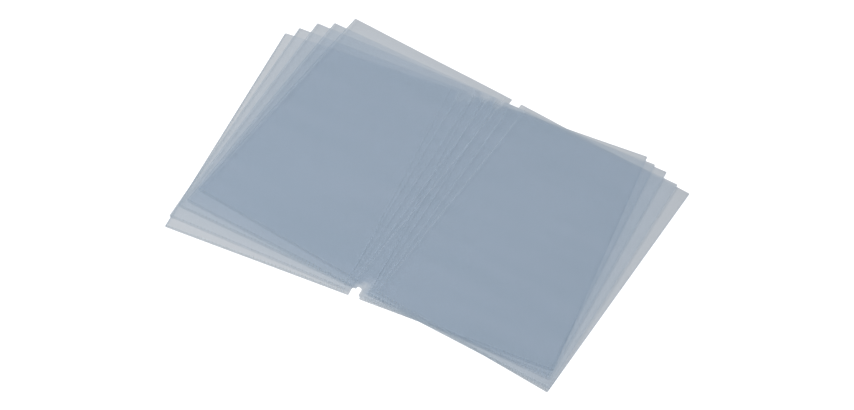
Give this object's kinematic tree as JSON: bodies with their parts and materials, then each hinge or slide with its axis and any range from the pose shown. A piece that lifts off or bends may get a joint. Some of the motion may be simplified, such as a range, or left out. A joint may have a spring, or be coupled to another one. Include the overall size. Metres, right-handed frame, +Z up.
{
  "type": "menu insert sleeve",
  "caption": "Fanned pack of clear film menu insert sleeves: top-loading page pockets either side of a notched spine strip, closed by dotted weld seams.",
  "frame": {"origin": "bottom centre of the bounding box of the whole fanned pack, on the surface it lies on", "axes": "+X along the width of the middle sleeve, +Y towards the open pocket mouths, +Z up out of the films"},
  "size_m": [0.5174, 0.3606, 0.0052],
  "materials": {
    "pocket_film": "clear soft vinyl film with a faint blue-grey tint, calendered smooth",
    "spine_film": "clear soft vinyl film with a faint blue-grey tint, calendered smooth",
    "weld_bead": "the two films heat-welded together in a row of short rungs"
  },
  "bodies": {
    "sleeve_1": {"sleeve_1_spine_front_strip": "spine_film", "sleeve_1_spine_back_strip": "spine_film", "sleeve_1_left_front_film": "pocket_film", "sleeve_1_left_back_film": "pocket_film", "sleeve_1_left_bottom_weld": "weld_bead", "sleeve_1_left_outer_weld": "weld_bead", "sleeve_1_left_fold_weld": "weld_bead", "sleeve_1_right_front_film": "pocket_film", "sleeve_1_right_back_film": "pocket_film", "sleeve_1_right_bottom_weld": "weld_bead", "sleeve_1_right_outer_weld": "weld_bead", "sleeve_1_right_fold_weld": "weld_bead"},
    "sleeve_2": {"sleeve_2_spine_front_strip": "spine_film", "sleeve_2_spine_back_strip": "spine_film", "sleeve_2_left_front_film": "pocket_film", "sleeve_2_left_back_film": "pocket_film", "sleeve_2_left_bottom_weld": "weld_bead", "sleeve_2_left_outer_weld": "weld_bead", "sleeve_2_left_fold_weld": "weld_bead", "sleeve_2_right_front_film": "pocket_film", "sleeve_2_right_back_film": "pocket_film", "sleeve_2_right_bottom_weld": "weld_bead", "sleeve_2_right_outer_weld": "weld_bead", "sleeve_2_right_fold_weld": "weld_bead"},
    "sleeve_3": {"sleeve_3_spine_front_strip": "spine_film", "sleeve_3_spine_back_strip": "spine_film", "sleeve_3_left_front_film": "pocket_film", "sleeve_3_left_back_film": "pocket_film", "sleeve_3_left_bottom_weld": "weld_bead", "sleeve_3_left_outer_weld": "weld_bead", "sleeve_3_left_fold_weld": "weld_bead", "sleeve_3_right_front_film": "pocket_film", "sleeve_3_right_back_film": "pocket_film", "sleeve_3_right_bottom_weld": "weld_bead", "sleeve_3_right_outer_weld": "weld_bead", "sleeve_3_right_fold_weld": "weld_bead"},
    "sleeve_4": {"sleeve_4_spine_front_strip": "spine_film", "sleeve_4_spine_back_strip": "spine_film", "sleeve_4_left_front_film": "pocket_film", "sleeve_4_left_back_film": "pocket_film", "sleeve_4_left_bottom_weld": "weld_bead", "sleeve_4_left_outer_weld": "weld_bead", "sleeve_4_left_fold_weld": "weld_bead", "sleeve_4_right_front_film": "pocket_film", "sleeve_4_right_back_film": "pocket_film", "sleeve_4_right_bottom_weld": "weld_bead", "sleeve_4_right_outer_weld": "weld_bead", "sleeve_4_right_fold_weld": "weld_bead"},
    "sleeve_5": {"sleeve_5_spine_front_strip": "spine_film", "sleeve_5_spine_back_strip": "spine_film"},
    "top_left_leaf": {"sleeve_5_left_front_film": "pocket_film", "sleeve_5_left_back_film": "pocket_film", "sleeve_5_left_bottom_weld": "weld_bead", "sleeve_5_left_outer_weld": "weld_bead", "sleeve_5_left_fold_weld": "weld_bead"},
    "top_right_leaf": {"sleeve_5_right_front_film": "pocket_film", "sleeve_5_right_back_film": "pocket_film", "sleeve_5_right_bottom_weld": "weld_bead", "sleeve_5_right_outer_weld": "weld_bead", "sleeve_5_right_fold_weld": "weld_bead"}
  },
  "joints": [
    {"name": "sleeve_2_swivel", "type": "hinge", "parent": "sleeve_1", "child": "sleeve_2", "pos_m": [0.05604, -0.11052, 0.0011], "axis": [0, 0, 1], "range_deg": [-3, 2.64]},
    {"name": "sleeve_3_swivel", "type": "hinge", "parent": "sleeve_2", "child": "sleeve_3", "pos_m": [0.12724, -0.20777, 0.0022], "axis": [0, 0, 1], "range_deg": [-3, 2.53]},
    {"name": "sleeve_4_swivel", "type": "hinge", "parent": "sleeve_3", "child": "sleeve_4", "pos_m": [-0.01189, -0.24964, 0.0033], "axis": [0, 0, 1], "range_deg": [-3, 2.56]},
    {"name": "sleeve_5_swivel", "type": "hinge", "parent": "sleeve_4", "child": "sleeve_5", "pos_m": [0.13711, -0.19834, 0.0044], "axis": [0, 0, 1], "range_deg": [-3, 2.89]},
    {"name": "left_leaf_fold", "type": "hinge", "parent": "sleeve_5", "child": "top_left_leaf", "pos_m": [0.00569, 0.00809, 0.0052], "axis": [0.095, 0.9955, 0], "range_deg": [0, 90]},
    {"name": "right_leaf_fold", "type": "hinge", "parent": "sleeve_5", "child": "top_right_leaf", "pos_m": [0.02898, 0.00587, 0.0052], "axis": [-0.095, -0.9955, 0], "range_deg": [0, 90]}
  ]
}
